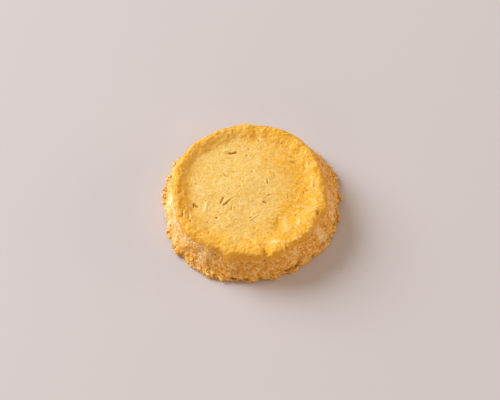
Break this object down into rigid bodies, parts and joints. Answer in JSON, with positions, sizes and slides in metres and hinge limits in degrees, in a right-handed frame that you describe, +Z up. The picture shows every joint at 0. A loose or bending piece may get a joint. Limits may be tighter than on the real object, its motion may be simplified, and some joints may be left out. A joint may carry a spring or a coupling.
{
  "type": "shortbread biscuit",
  "caption": "Thick round shortbread biscuit with a shallow dished top, a rolled rim and a rough crumbly side that flares out to a ragged foot.",
  "frame": {"origin": "on the table, under the middle of the biscuit", "axes": "+Z up, out of the dished top; +Y away from the viewer and +X to the viewer's right"},
  "size_m": [0.0596, 0.0581, 0.0123],
  "materials": {
    "baked_dough": "matt baked butter dough, golden at the rim, with a sandy side"
  },
  "bodies": {
    "root": {"shortbread": "baked_dough"}
  },
  "joints": []
}
